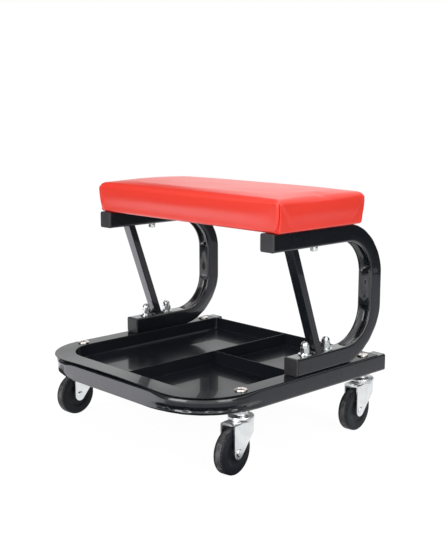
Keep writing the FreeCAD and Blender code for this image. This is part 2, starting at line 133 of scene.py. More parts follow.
def blendColour(share, first, second):
    return share.node("ShaderNodeMix", {"data_type": "RGBA"}, {0: share, 6: first, 7: second}, 2)


def speckle(places, size, detail=3.0, rough=0.5):
    return places.node("ShaderNodeTexNoise", None,
                       {"Vector": places, "Scale": 1 / size, "Detail": detail, "Roughness": rough})


def startFinish(name):
    finish = bpy.data.materials.new(name)
    finish.use_nodes = True
    finish.node_tree.nodes.clear()
    return finish, Wire(finish.node_tree).node("ShaderNodeTexCoord", out=3)


def endFinish(places, sockets):
    shader = places.node("ShaderNodeBsdfPrincipled", None, sockets)
    places.node("ShaderNodeOutputMaterial", None, {"Surface": shader})


def relief(height, depth, under=None):
    sockets = {"Height": height, "Distance": depth, "Strength": 1.0}
    if under:
        sockets["Normal"] = under
    return height.node("ShaderNodeBump", None, sockets)


def coated(look):
    return {"IOR": look["ior"], "Coat Weight": look["coat"], "Coat Roughness": look["coatGloss"],
            "Coat IOR": 1.5}


paintLook = {"black": (0.0050, 0.0066, 0.0100, 1), "dusty": (0.014, 0.017, 0.022, 1), "gloss": 0.24,
             "ior": 1.5, "dust": 0.0016, "cloud": 0.05, "peel": 0.0021, "peelDeep": 0.000012, "sag": 0.022,
             "sagDeep": 0.00022, "coat": 0.8, "coatGloss": 0.03}


def blackPaint(look):
    finish, places = startFinish("gloss black paint")
    dust = ramp(speckle(places, look["dust"], 2.0), 0.66, 0.78)
    cloud = speckle(places, look["cloud"])
    peel = speckle(places, look["peel"], 1.5)
    sag = speckle(places, look["sag"], 1.0)
    colour = blendColour(dust * 0.35 + cloud * 0.2, look["black"], look["dusty"])
    shape = relief(sag, look["sagDeep"], relief(peel, look["peelDeep"]))
    endFinish(places, {"Base Color": colour, "Roughness": cloud * 0.08 + dust * 0.12 + look["gloss"],
                       "Normal": shape, **coated(look)})
    return finish


trayLook = {"black": (0.0095, 0.0115, 0.0155, 1), "worn": (0.030, 0.032, 0.036, 1), "gloss": 0.19,
            "ior": 1.18, "grain": 0.0009, "grainDeep": 0.000001, "cloud": 0.08, "cloudDeep": 0.00012,
            "marks": 0.006, "coat": 0.34, "coatGloss": 0.015}


def trayGloss(look):
    finish, places = startFinish("moulded gloss tray")
    grain = speckle(places, look["grain"], 2.0)
    cloud = speckle(places, look["cloud"], 4.0)
    marks = ramp(speckle(places, look["marks"], 4.0, 0.7), 0.68, 0.74)
    colour = blendColour(marks * 0.5 + cloud * 0.15, look["black"], look["worn"])
    shape = relief(cloud, look["cloudDeep"], relief(grain, look["grainDeep"]))
    endFinish(places, {"Base Color": colour, "Roughness": cloud * 0.08 + marks * 0.1 + look["gloss"],
                       "Normal": shape, **coated(look)})
    return finish


capLook = {"black": (0.017, 0.017, 0.020, 1), "pale": (0.056, 0.056, 0.061, 1), "gloss": 0.38,
           "grain": 0.0008, "grainDeep": 0.00005, "cloud": 0.012}


def capPlastic(look):
    finish, places = startFinish("plug plastic")
    grain = speckle(places, look["grain"])
    cloud = speckle(places, look["cloud"])
    colour = blendColour(cloud * 0.6 + grain * 0.2, look["black"], look["pale"])
    endFinish(places, {"Base Color": colour, "Roughness": grain * 0.12 + look["gloss"],
                       "Normal": relief(grain, look["grainDeep"]), "IOR": 1.5})
    return finish


vinylLook = {"red": (0.87, 0.043, 0.024, 1), "deep": (0.79, 0.033, 0.017, 1), "gloss": 0.40, "ior": 1.34,
             "grain": 0.0011, "grainDeep": 0.00005, "pores": 0.0005, "poresDeep": 0.00001, "cloud": 0.06,
             "coat": 0.75, "coatGloss": 0.30}


def redVinyl(look):
    finish, places = startFinish("red vinyl")
    cells = places.node("ShaderNodeTexVoronoi", {"feature": "SMOOTH_F1"},
                        {"Vector": places, "Scale": 1 / look["grain"], "Smoothness": 0.6})
    cloud = speckle(places, look["cloud"])
    pores = speckle(places, look["pores"], 2.0)
    colour = blendColour(cloud * 0.5 + cells * 0.15, look["red"], look["deep"])
    shape = relief(pores, look["poresDeep"], relief(cells, look["grainDeep"]))
    endFinish(places, {"Base Color": colour, "Roughness": cloud * 0.1 + look["gloss"], "Normal": shape,
                       **coated(look)})
    return finish


wheelLook = {"black": (0.0065, 0.0085, 0.0135, 1), "dusty": (0.15, 0.145, 0.145, 1), "gloss": 0.42,
             "ior": 1.26, "radius": 0.03175, "tread": (0.0030, 0.0048), "edgeStart": (0.0044, 0.0054),
             "edgeEnd": (0.0058, 0.0070), "edgeRadius": (0.0290, 0.0310), "grit": 0.0012, "gritDeep": 0.00012,
             "broad": 0.009}


def wheelRubber(look):
    # local X is the wheel's axis, so the distance from it tells tread from face
    finish, places = startFinish("black wheel rubber")
    x, y, z = (places.node("ShaderNodeSeparateXYZ", None, {0: places}, i) for i in range(3))
    radius = (y * y + z * z) ** 0.5
    aside = places.maths("ABSOLUTE", x)
    outside = ramp(radius, look["radius"] - 0.0010, look["radius"] - 0.0002)
    tread = outside * (1 - ramp(aside, *look["tread"]))
    edge = ramp(aside, *look["edgeStart"]) * (1 - ramp(aside, *look["edgeEnd"]))
    edge *= ramp(radius, *look["edgeRadius"])
    grit = speckle(places, look["grit"], 5.0, 0.7)
    broad = speckle(places, look["broad"])
    scuffs = tread * ramp(broad + grit * 0.5, 0.50, 0.95) * 0.8 + edge * ramp(grit, 0.52, 0.64)
    colour = blendColour(scuffs + grit * 0.08, look["black"], look["dusty"])
    endFinish(places, {"Base Color": colour, "Roughness": broad * 0.12 + scuffs * 0.2 + look["gloss"],
                       "Normal": relief(grit, look["gritDeep"]), "IOR": look["ior"]})
    return finish


# pale and shaded colour, gloss, size of the blotches and depth of the grain
metalLooks = {"zinc plated steel": ((0.84, 0.86, 0.86, 1), (0.73, 0.76, 0.78, 1), 0.24, 0.012, 0.00003),
              "bright nickel": ((0.84, 0.87, 0.87, 1), (0.68, 0.72, 0.73, 1), 0.20, 0.006, 0.00001),
              "warm nickel": ((0.90, 0.87, 0.83, 1), (0.76, 0.72, 0.67, 1), 0.24, 0.006, 0.00001),
              "oiled ball steel": ((0.55, 0.54, 0.52, 1), (0.30, 0.28, 0.25, 1), 0.18, 0.003, 0.00001)}


def brightMetal(name, pale, shade, gloss, blotch, depth):
    finish, places = startFinish(name)
    cloud = speckle(places, blotch, 4.0, 0.6)
    fine = speckle(places, blotch / 9)
    colour = blendColour(ramp(cloud, 0.35, 0.68), pale, shade)
    endFinish(places, {"Base Color": colour, "Roughness": fine * 0.14 + gloss, "Metallic": 1.0,
                       "Normal": relief(fine, depth)})
    return finish


woodLook = {"brown": (0.10, 0.070, 0.044, 1), "dark": (0.050, 0.034, 0.021, 1), "stretch": (0.12, 1.0, 1.0),
            "grain": 0.004, "grainDeep": 0.0001, "plies": 90.0, "gloss": 0.5}


def plyWood(look):
    finish, places = startFinish("dark plywood")
    stretched = places.node("ShaderNodeVectorMath", {"operation": "MULTIPLY"},
                            {0: places, 1: look["stretch"]})
    grain = speckle(stretched, look["grain"], 6.0, 0.65)
    plies = places.node("ShaderNodeTexWave", {"bands_direction": "Z"},
                        {"Vector": places, "Scale": look["plies"], "Distortion": 0.6, "Detail": 1.0})
    colour = blendColour(grain * 0.7 + plies * 0.2, look["brown"], look["dark"])
    endFinish(places, {"Base Color": colour, "Roughness": grain * 0.2 + look["gloss"],
                       "Normal": relief(grain, look["grainDeep"])})
    return finish


foamLook = {"pale": (0.72, 0.64, 0.42, 1), "shade": (0.52, 0.42, 0.24, 1), "gloss": 0.85, "pores": 0.0012,
            "poresDeep": 0.0005}


def seatFoam(look):
    finish, places = startFinish("open cell foam")
    pores = speckle(places, look["pores"], 2.0)
    colour = blendColour(pores, look["pale"], look["shade"])
    endFinish(places, {"Base Color": colour, "Roughness": pores * 0.1 + look["gloss"],
                       "Normal": relief(pores, look["poresDeep"])})
    return finish


paint, tray, plastic = blackPaint(paintLook), trayGloss(trayLook), capPlastic(capLook)
vinyl, rubber = redVinyl(vinylLook), wheelRubber(wheelLook)
zinc, nickel, screwNickel, ballSteel = (brightMetal(name, *look) for name, look in metalLooks.items())
wood, foam = plyWood(woodLook), seatFoam(foamLook)
print("finishes made")


def meshFrom(shape, name):
    mesh = bpy.data.meshes.new(name)
    shape.to_mesh(mesh)
    shape.free()
    return mesh


def smoothFaces(mesh, sharp):
    for face in mesh.polygons:
        face.use_smooth = True
    mesh.set_sharp_from_angle(angle=math.radians(sharp))


def addPiece(name, mesh, finish, body, sharp=35):
    mesh.materials.clear()
    mesh.materials.append(finish)
    piece = addObject(name, mesh)
    smoothFaces(mesh, sharp)
    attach(piece, body)
    return piece


def steadyNormals(piece):
    # flat faces keep flat shading beside their rounded edges
    weighted = piece.modifiers.new("flats", "WEIGHTED_NORMAL")
    weighted.keep_sharp = True


def skin(name, rings, ends=True):
    # quads between rings of equally many points
    shape = bmesh.new()
    rows = [[shape.verts.new(point) for point in ring] for ring in rings]
    count = len(rows[0])
    for first, second in zip(rows, rows[1:]):
        for i in range(count):
            j = (i + 1) % count
            shape.faces.new((first[i], first[j], second[j], second[i]))
    if ends:
        shape.faces.new(rows[0])
        shape.faces.new(list(reversed(rows[-1])))
    bmesh.ops.recalc_face_normals(shape, faces=shape.faces)
    return meshFrom(shape, name)


def ease(value):
    value = max(0.0, min(1.0, value))
    return value * value * (3 - 2 * value)


soften = {"join": 0.000002, "flat": 0.6, "sharp": 35, "segments": 2}


def softened(node, name, finish, width):
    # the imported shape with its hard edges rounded
    shape = bmesh.new()
    shape.from_mesh(nodes[node].data)
    bmesh.ops.remove_doubles(shape, verts=shape.verts, dist=soften["join"])
    bmesh.ops.dissolve_limit(shape, angle_limit=math.radians(soften["flat"]), verts=shape.verts,
                             edges=shape.edges)
    piece = addPiece(name, meshFrom(shape, name), finish, nodes[node]["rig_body"], soften["sharp"])
    bevel = piece.modifiers.new("rounded edges", "BEVEL")
    bevel.width, bevel.segments = width, soften["segments"]
    bevel.limit_method, bevel.angle_limit = "ANGLE", math.radians(soften["sharp"])
    steadyNormals(piece)
    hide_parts(node)


tube = {"half": 0.0127, "round": 0.003, "bentRound": 0.0062, "outerDrop": 0.0004, "channel": 0.0052,
        "channelHalf": 0.0085, "channelSway": 0.06, "channelStep": 0.034, "bulge": 0.0003, "innerRamp": 0.1,
        "outerRamp": 0.42, "ripple": 0.0002, "rippleStep": 0.021, "plainStep": 0.012, "bendStep": 0.0024}


def tubeSection(outerRound, innerRound, outerDrop, channel, bulge, farRound=None, steps=8):
    half, wide = tube["half"], tube["channelHalf"]
    farRound = farRound or outerRound
    top, points = half - outerDrop, []

    def corner(outward, across, radius, start):
        for i in range(7):
            angle = math.radians(start + 15 * i)
            points.append((outward + radius * math.cos(angle), across + radius * math.sin(angle)))

    def flank(first, last, sign):
        for i in range(1, 7):
            share = i / 7
            points.append((first + (last - first) * share, sign * (half + bulge * math.sin(math.pi * share))))

    flat, farFlat = half - outerRound, half - farRound
    points += [(top, (flat + farFlat) * i / steps - farFlat) for i in range(1, steps)]
    corner(top - outerRound, flat, outerRound, 0)
    high, low = top - outerRound, innerRound - half
    flank(high, low, 1)
    corner(low, half - innerRound, innerRound, 90)
    for i in range(1, 20):
        across = (half - innerRound) * (1 - i / 10)
        press = max(0.0, 1 - (abs(across) / wide) ** 2) ** 1.25
        points.append((channel * press - half, across))
    corner(low, innerRound - half, innerRound, 180)
    flank(low, top - farRound, -1)
    corner(top - farRound, -farFlat, farRound, 270)
    return points


frameSections = (tubeSection(tube["round"], tube["round"], 0, 0, 0),
                 tubeSection(tube["bentRound"], tube["round"], tube["outerDrop"], tube["channel"],
                             tube["bulge"]))


def walkPath(points, radius):
    # stations (place, heading, distance) along straight runs and round their turns,
    # and where each bend starts and ends
    start, *turns, end = points
    stations, bends, place, walked = [], [], start, 0.0

    def straight(goal, first):
        nonlocal place, walked
        run, length = goal - place, (goal - place).length
        count = max(1, round(length / tube["plainStep"]))
        heading = run.normalized()
        for i in range(0 if first else 1, count + 1):
            stations.append((place + run * i / count, heading, walked + length * i / count))
        place, walked = goal, walked + length

    for index, turn in enumerate(turns):
        following = turns[index + 1] if index + 1 < len(turns) else end
        before, after = (turn - place).normalized(), (following - turn).normalized()
        straight(turn - before * radius, not stations)
        centre = place + after * radius
        count = round(math.pi / 2 * radius / tube["bendStep"])
        for i in range(1, count + 1):
            angle = math.pi / 2 * i / count
            spot = centre - after * radius * math.cos(angle) + before * radius * math.sin(angle)
            heading = before * math.cos(angle) + after * math.sin(angle)
            stations.append((spot, heading, walked + angle * radius))
        bends.append((walked, walked + math.pi / 2 * radius))
        place, walked = turn + after * radius, walked + math.pi / 2 * radius
    straight(end, False)
    return stations, bends


def wave(walked, length, phase):
    return math.sin(walked / length * 2 * math.pi + phase)


def squareTube(name, points, radius, across, node, sections, dents=(), seed=0.0, channel=1.0, fold=None):
    stations, bends = walkPath(points, radius)
    lead, outerRamp = (fold["lead"], fold["ramp"]) if fold else (0.0, tube["outerRamp"])
    rings, crease = [], 0.0
    for place, heading, walked in stations:
        outward = across.cross(heading)
        start, stop = min(bends, key=lambda bend: abs(walked - (bend[0] + bend[1]) / 2))
        share = (walked - start) / (stop - start)
        inner = ease(share / tube["innerRamp"]) * ease((1 - share) / tube["innerRamp"])
        outer = ease((share + lead) / outerRamp) * ease((1 + lead - share) / outerRamp)
        sway = wave(walked, tube["rippleStep"], seed)
        drift = tube["channelSway"] * wave(walked, tube["channelStep"], 2 * seed)
        if fold:
            crease = wave(walked, fold["longStep"], seed)
            crease += fold["short"] * wave(walked, fold["shortStep"], 2 * seed)
        ring = []
        for (plainOut, plainSide), (bentOut, bentSide) in zip(*sections):
            press = outer if bentOut > 0 else inner
            out = plainOut + (bentOut - plainOut) * press
            side = plainSide + (bentSide - plainSide) * press
            if bentOut > 0:
                out += tube["ripple"] * press * sway * abs(bentSide) / tube["half"]
                if fold and bentSide > 0:
                    # the lower half of the face leans in, the last bend's with a wavy fold along it
                    low, last = bentSide / tube["half"], start == bends[-1][0]
                    out -= press * (fold["lean"] * low ** 1.2 if last else fold["nose"] * low ** 2)
                    band = math.exp(-((low - fold["at"]) / fold["wide"]) ** 2)
                    out -= press * last * fold["deep"] * (fold["level"] + fold["swing"] * crease) * band
            elif abs(bentSide) < tube["channelHalf"]:
                depth = (bentOut + tube["half"]) * press
                out += depth * (channel - 1 + drift)
                for along, aside, long, wide, deep in dents:
                    out += deep * math.exp(-((walked - along) / long) ** 2 - ((side - aside) / wide) ** 2)
            ring.append(place + outward * out + across * side)
        rings.append(ring)
    piece = addPiece(name, skin(name, rings), paint, "base", sharp=50)
    steadyNormals(piece)
    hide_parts(node)


sideFrame = {"x": 0.178, "upper": 0.3041, "lower": 0.1236, "upperFront": -0.0552, "lowerFront": -0.0048,
             "rear": 0.1666, "bend": 0.0663, "dent": (0.282, 0.001, 0.006, 0.0035, 0.0016)}


def sideFrames():
    form = sideFrame
    for side, sign in (("left", -1), ("right", 1)):
        x = sign * form["x"]
        points = [Vector((x, y, z)) for y, z in (
            (form["upperFront"], form["upper"]), (form["rear"], form["upper"]), (form["rear"], form["lower"]),
            (form["lowerFront"], form["lower"]))]
        squareTube("sideFrame." + side, points, form["bend"], Vector((1, 0, 0)), "side_frame_" + side,
                   frameSections, [form["dent"]], seed=1.3 * sign)


baseFrame = {"x": 0.1813, "front": -0.1783, "rear": 0.188, "z": 0.097, "bend": 0.0793, "round": 0.0024,
             "bentRound": 0.0040, "bentTop": 0.0075, "outerDrop": 0.0005}
baseFold = {"lead": 0.13, "ramp": 0.30, "nose": 0.0030, "lean": 0.0022, "deep": 0.0034, "at": 0.42,
            "wide": 0.19, "level": 0.55, "swing": 0.28, "longStep": 0.031, "short": 0.6, "shortStep": 0.0137}


def baseTube():
    form = baseFrame
    x, z = form["x"], form["z"]
    points = [Vector((-x, form["rear"], z)), Vector((-x, form["front"], z)),
              Vector((x, form["front"], z)), Vector((x, form["rear"], z))]
    sections = (tubeSection(form["round"], tube["round"], 0, 0, 0, steps=28),
                tubeSection(form["bentRound"], tube["round"], form["outerDrop"], tube["channel"], 0,
                            form["bentTop"], steps=28))
    squareTube("baseTube", points, form["bend"], Vector((0, 0, -1)), "base_tube", sections, seed=0.6,
               channel=0.7, fold=baseFold)


sideFrames()
baseTube()
print("square tubes bent")


trayForm = {"half": 0.1925, "front": -0.1908, "rear": 0.175, "frontRound": 0.085, "rearRound": 0.003,
            "wellHalf": 0.1653, "wellFront": -0.156, "wellRear": 0.172, "wellFrontRound": 0.053,
            "wellRearRound": 0.005, "top": 0.1109, "under": 0.1097, "floor": 0.0909, "bottom": 0.0889,
            "wall": 0.002, "lip": 0.0014, "fillet": 0.0035, "ribHalf": 0.0009, "ribTop": 0.1101,
            "cross": 0.013, "bow": 0.0030, "bowMiddle": -0.01, "bowReach": 0.15, "draft": 0.0006,
            "wellFoot": ((0.0040, 0), (0.0012, 0.0006), (0.0004, 0.0022)),
            "rimUnder": ((0.0004, 0), (0.0001, 0.0003), (0, 0.0006)),
            "rimTop": ((0.0001, -0.0003), (0.0005, 0)),
            "ribFoot": ((0.0012, -0.001), (0.0005, 0.0007), (0.0002, 0.002))}


def trayLoop(half, front, rear, frontRound, rearRound, z):
    # every loop has as many points, so loops skin together
    loop = []
    places = ((half - frontRound, front + frontRound, frontRound, -90, 20),
              (half - rearRound, rear - rearRound, rearRound, 0, 8),
              (rearRound - half, rear - rearRound, rearRound, 90, 8),
              (frontRound - half, front + frontRound, frontRound, 180, 20))
    for x, y, radius, start, count in places:
        for i in range(count + 1):
            angle = math.radians(start + 90 * i / count)
            loop.append(Vector((x + radius * math.cos(angle), y + radius * math.sin(angle), z)))
    loop += [Vector(((half - frontRound) * (i / 6 - 1), front, z)) for i in range(1, 12)]
    return loop


def toolTray():
    form = trayForm

    def rim(inset, z):
        loop = trayLoop(form["half"] - inset, form["front"] + inset, form["rear"] - inset,
                        form["frontRound"] - inset, max(form["rearRound"] - inset, 0.0004), z)
        for spot in loop:
            # the flange stands up a little between its two front screws
            away = min(1.0, abs(spot.x - form["bowMiddle"]) / form["bowReach"])
            if spot.y < form["wellFront"]:
                spot.z += form["bow"] * (1 - away ** 2) ** 1.5
        return loop

    def well(outset, z):
        return trayLoop(form["wellHalf"] + outset, form["wellFront"] - outset, form["wellRear"] + outset,
                        form["wellFrontRound"] + outset, form["wellRearRound"] + outset, z)

    wall, lip, fillet = form["wall"], form["lip"], form["fillet"]
    loops = [well(wall - inset, form["bottom"] + rise) for inset, rise in form["wellFoot"]]
    loops.append(well(wall, form["under"]))
    loops += [rim(inset, form["under"] + rise) for inset, rise in form["rimUnder"]]
    loops += [rim(inset, form["top"] + rise) for inset, rise in form["rimTop"]]
    angles = [math.radians(15 * i) for i in range(7)]
    loops += [well(lip * (1 - math.sin(a)), form["top"] - lip * (1 - math.cos(a))) for a in angles]
    loops += [well(-form["draft"] - fillet * (1 - math.cos(a)), form["floor"] + fillet * (1 - math.sin(a)))
              for a in angles]
    shape = bmesh.new()
    shape.from_mesh(skin("toolTray", loops))
    # dividers, rounded along the top
    half, top = form["ribHalf"], form["ribTop"]
    profile = [(-half - out, form["floor"] + rise) for out, rise in form["ribFoot"]]
    profile += [(-half * math.cos(math.radians(a)), top - half + half * math.sin(math.radians(a)))
                for a in range(0, 181, 20)]
    profile += [(-a, z) for a, z in reversed(profile[:3])]
    runs = ((Vector((0, form["wellFront"] - 0.001, 0)), Vector((0, form["wellRear"] + 0.001, 0))),
            (Vector((0, form["cross"], 0)), Vector((form["wellHalf"] + 0.001, form["cross"], 0))))
    for start, end in runs:
        along = (end - start).normalized()
        across = Vector((-along.y, along.x, 0))
        rings = [[start + (end - start) * i / 12 + across * a + Vector((0, 0, z)) for a, z in profile]
                 for i in range(13)]
        shape.from_mesh(skin("rib", rings))
    piece = addPiece("toolTray", meshFrom(shape, "toolTray"), tray, "base", sharp=50)
    steadyNormals(piece)
    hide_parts("tool_tray")


toolTray()
print("tray moulded")


pad = {"half": 0.197, "front": -0.055, "rear": 0.126, "bottom": 0.3168, "top": 0.3686, "edgeTop": 0.3650,
       "bulge": 0.0028, "round": 0.0105, "lowRound": 0.0035, "corner": 0.0055, "smaller": 0.0022,
       "voxel": 0.005, "pressure": 4.0, "steps": 20, "cap": 0.006, "puff": 1.4, "foamHold": 0.16, "pin": 0.2,
       "stretch": 30, "bend": 2, "coarse": (0.003, 0.006), "fineX": (0.0011, 0.0036),
       "fineY": (0.0005, 0.0036, 0.009), "fineZ": (0.0009, 0.0024, 0.01)}


def spread(low, high, edgeStep, middleStep, edge=0.013):
    # places along one side: fine near both ends, coarser between
    places, at = [], low
    while at < high - 1e-6:
        places.append(at)
        near = min(at - low, high - at)
        at += edgeStep if near < edge else min(middleStep, max(edgeStep, high - edge - at))
    places.append(high)
    return places


def rounded(first, second, radius):
    # two depths under an edge, moved from its square corner onto its round
    a, b = radius - first, radius - second
    if a <= 0 or b <= 0:
        return first, second
    share = max(a, b) / math.hypot(a, b)
    return radius - a * share, radius - b * share


def padSurface(x, y, z):
    # a point of the plain box moved to the pad's rounded shape
    midY, deep = (pad["front"] + pad["rear"]) / 2, (pad["rear"] - pad["front"]) / 2
    bottom, edgeTop = pad["bottom"], pad["edgeTop"]
    rise = (z - bottom) / (edgeTop - bottom)
    swell = pad["bulge"] * math.sin(min(1.0, max(0.0, rise)) * math.pi / 2)
    half, depth = pad["half"] + swell, deep + swell
    inX, inY = half * (1 - abs(x) / pad["half"]), depth * (1 - abs(y - midY) / deep)
    inset, fromTop = rounded(min(inX, inY), edgeTop - z, pad["round"])
    inset, fromBottom = rounded(inset, edgeTop - fromTop - bottom, pad["lowRound"])
    corner = max(pad["corner"] - inset * 0.4, 0.003)
    inX, inY = rounded(max(inX, inset) - inset, max(inY, inset) - inset, corner)
    spot = Vector((math.copysign(half - inset - inX, x), math.copysign(depth - inset - inY, y - midY),
                   bottom + fromBottom))
    crown = max(0.0, 1 - (spot.x / half) ** 4) * max(0.0, 1 - (spot.y / depth) ** 2)
    share = ease((spot.z - edgeTop + 0.008) / 0.008)
    return Vector((spot.x, spot.y + midY, spot.z + (pad["top"] - edgeTop) * crown * share))


def boxGrid(xs, ys, zs, bottom=True):
    # a box of grid faces, every point passed through padSurface
    shape = bmesh.new()
    seen = {}

    def vertex(x, y, z):
        key = (round(x, 7), round(y, 7), round(z, 7))
        if key not in seen:
            seen[key] = shape.verts.new(padSurface(x, y, z))
        return seen[key]

    def sheet(rows, columns, place):
        for r0, r1 in zip(rows, rows[1:]):
            for c0, c1 in zip(columns, columns[1:]):
                shape.faces.new([vertex(*place(r, c)) for r, c in ((r0, c0), (r0, c1), (r1, c1), (r1, c0))])

    sheet(xs, ys, lambda x, y: (x, y, zs[-1]))
    if bottom:
        sheet(xs, ys, lambda x, y: (x, y, zs[0]))
    for x in (xs[0], xs[-1]):
        sheet(ys, zs, lambda y, z: (x, y, z))
    for y in (ys[0], ys[-1]):
        sheet(xs, zs, lambda x, z: (x, y, z))
    bmesh.ops.recalc_face_normals(shape, faces=shape.faces)
    return shape


def workedMesh(item):
    # what the object's modifiers make of it
    return bpy.data.meshes.new_from_object(item.evaluated_get(bpy.context.evaluated_depsgraph_get()))


def puffedPad():
    # slightly smaller, remeshed, then blown up by cloth pressure
    shape = boxGrid(spread(-pad["half"], pad["half"], *pad["coarse"]),
                    spread(pad["front"], pad["rear"], *pad["coarse"]),
                    spread(pad["bottom"], pad["edgeTop"], *pad["coarse"]))
    for vert in shape.verts:
        share = ease((vert.co.z - pad["bottom"]) / 0.014)
        vert.co -= vert.normal * pad["smaller"] * share
    start = addObject("padStart", meshFrom(shape, "padStart"))
    remesh = start.modifiers.new("remesh", "REMESH")
    remesh.mode, remesh.voxel_size = "VOXEL", pad["voxel"]
    bpy.context.view_layer.update()
    mesh = workedMesh(start)
    bpy.data.objects.remove(start)
    puffed = addObject("padPuffed", mesh)
    before = [vert.co.copy() for vert in mesh.vertices]
    moves = [Vector() for _ in before]
    held = puffed.vertex_groups.new(name="held")
    for vert in mesh.vertices:
        free = ease((vert.co.z - pad["bottom"] - 0.004) / 0.016)
        held.add([vert.index], 1 - (1 - pad["foamHold"]) * free, "REPLACE")
    cloth = puffed.modifiers.new("cloth", "CLOTH")
    cloth.settings.use_pressure, cloth.settings.uniform_pressure_force = True, pad["pressure"]
    cloth.settings.effector_weights.gravity = 0
    cloth.settings.vertex_group_mass, cloth.settings.pin_stiffness = "held", pad["pin"]
    cloth.settings.tension_stiffness = cloth.settings.compression_stiffness = pad["stretch"]
    cloth.settings.bending_stiffness = pad["bend"]
    cloth.point_cache.frame_start, cloth.point_cache.frame_end = 1, pad["steps"]
    for step in range(1, pad["steps"] + 1):
        scene.frame_set(step)
    after = workedMesh(puffed)
    for i, spot in enumerate(before):
        move = after.vertices[i].co - spot
        moves[i] = move * min(1.0, pad["cap"] / max(move.length, 1e-9))
    print("cloth moved the pad by up to", round(max(move.length for move in moves) * 1000, 2), "mm")
    scene.frame_set(1)
    bpy.data.objects.remove(puffed)
    near = KDTree(len(before))
    for i, spot in enumerate(before):
        near.insert(spot, i)
    near.balance()

    def pushed(spot):
        total, weight = Vector(), 0.0
        for _, i, away in near.find_n(spot, 6):
            share = 1 / (away + 0.0005) ** 2
            total, weight = total + moves[i] * share, weight + share
        return total / weight

    return pushed


folds = {"pleatDepth": 0.0024, "pleatWidth": 0.0007, "lane": 0.0042, "laneSway": 0.0006, "flapRise": 0.0006,
         "flapWidth": 0.0013, "flapAside": 0.0020, "creaseDepth": 0.0010, "creaseWidth": 0.0022,
         "creaseStart": 0.006, "creaseSlope": 0.8, "hollowShare": 0.8, "hollowWidth": 0.006, "swell": 0.0026,
         "reach": 0.012, "below": 0.006, "endFace": 0.004}


def seatCushion():
    pushed = puffedPad()
    shape = boxGrid(spread(-pad["half"], pad["half"], *pad["fineX"]),
                    spread(pad["front"], pad["rear"], *pad["fineY"]),
                    spread(pad["bottom"], pad["edgeTop"], *pad["fineZ"]), bottom=False)
    before = [vert.co.copy() for vert in shape.verts]
    for vert in shape.verts:
        vert.co += pushed(vert.co) * pad["puff"] * ease((vert.co.z - pad["bottom"] - 0.002) / 0.01)
    # back to the pad's own size: cloth changes the form, not the box
    for axis in range(3):
        old, new = [spot[axis] for spot in before], [vert.co[axis] for vert in shape.verts]
        oldLow, newLow = min(old), min(new)
        scale = (max(old) - oldLow) / (max(new) - newLow)
        for vert in shape.verts:
            vert.co[axis] = oldLow + (vert.co[axis] - newLow) * scale
    for _ in range(3):
        bmesh.ops.smooth_vert(shape, verts=[v for v in shape.verts if not v.is_boundary], factor=0.3,
                              use_axis_x=True, use_axis_y=True, use_axis_z=True)
    foldCorners(shape)
    turnHem(shape)
    bmesh.ops.recalc_face_normals(shape, faces=shape.faces)
    piece = addPiece("cushion", meshFrom(shape, "cushion"), vinyl, "base", sharp=75)
    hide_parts("seat_cover", "seat_foam")
    return piece


def foldCorners(shape):
    # a flap's edge up each corner, and the crease that its tuck pulls across the end face
    shape.normal_update()
    high = pad["edgeTop"] - folds["below"]
    for vert in shape.verts:
        inX = pad["half"] + folds["swell"] - abs(vert.co.x)
        drop = high - vert.co.z
        if drop < -0.003 or inX > folds["reach"]:
            continue
        if vert.co.y < (pad["front"] + pad["rear"]) / 2:
            inY = vert.co.y - pad["front"] + folds["swell"]
        else:
            inY = pad["rear"] + folds["swell"] - vert.co.y
        along = ease((drop + 0.003) / 0.007)
        lane = folds["lane"] + folds["laneSway"] * math.sin(drop * 75)
        groove = math.exp(-((inY - lane) / folds["pleatWidth"]) ** 2) * folds["pleatDepth"]
        flap = math.exp(-((inY - lane + folds["flapAside"]) / folds["flapWidth"]) ** 2) * folds["flapRise"]
        fade = ease(drop / 0.006) * ease((0.04 - inY) / 0.02)
        line = inY - folds["creaseStart"] - drop * folds["creaseSlope"]
        crease = math.exp(-(line / folds["creaseWidth"]) ** 2) * folds["creaseDepth"] * fade
        hollow = math.exp(-((line + folds["hollowWidth"]) / folds["hollowWidth"]) ** 2)
        hollow = hollow * folds["creaseDepth"] * folds["hollowShare"] * fade
        onEnd = inX < folds["endFace"]
        vert.co += vert.normal * ((flap - groove) * along + (crease - hollow) * along * onEnd)


hem = {"insets": (0.004, 0.012, 0.022), "reach": 0.030, "cutInset": 0.0003, "thick": 0.0009,
       "gather": 0.00025, "lift": 0.0001}


def turnHem(shape):
    # the vinyl turns in under the board and ends in a cut edge
    rim = [edge for edge in shape.edges if edge.is_boundary]
    midY = (pad["front"] + pad["rear"]) / 2
    steps = [(inset, 0.0) for inset in (*hem["insets"], hem["reach"])]
    steps.append((hem["reach"] + hem["cutInset"], hem["thick"]))
    for inset, lift in steps:
        made = bmesh.ops.extrude_edge_only(shape, edges=rim)
        verts = [item for item in made["geom"] if isinstance(item, bmesh.types.BMVert)]
        rim = [item for item in made["geom"] if isinstance(item, bmesh.types.BMEdge)]
        for vert in verts:
            reachX = pad["half"] - inset
            reachY = (pad["rear"] - pad["front"]) / 2 - inset
            x = max(-reachX, min(reachX, vert.co.x))
            y = max(midY - reachY, min(midY + reachY, vert.co.y))
            # gathers, where the cover is pulled round to its staples
            gather = hem["gather"] * math.sin(x * 420) * math.sin(y * 390) if 0 < inset < hem["reach"] else 0
            vert.co = Vector((x, y, pad["bottom"] + hem["lift"] + lift + abs(gather)))


board = {"half": 0.1925, "front": -0.0505, "rear": 0.1215, "bottom": 0.3181, "top": 0.3298, "round": 0.0028,
         "shoulder": (0.0009, 0.0008)}


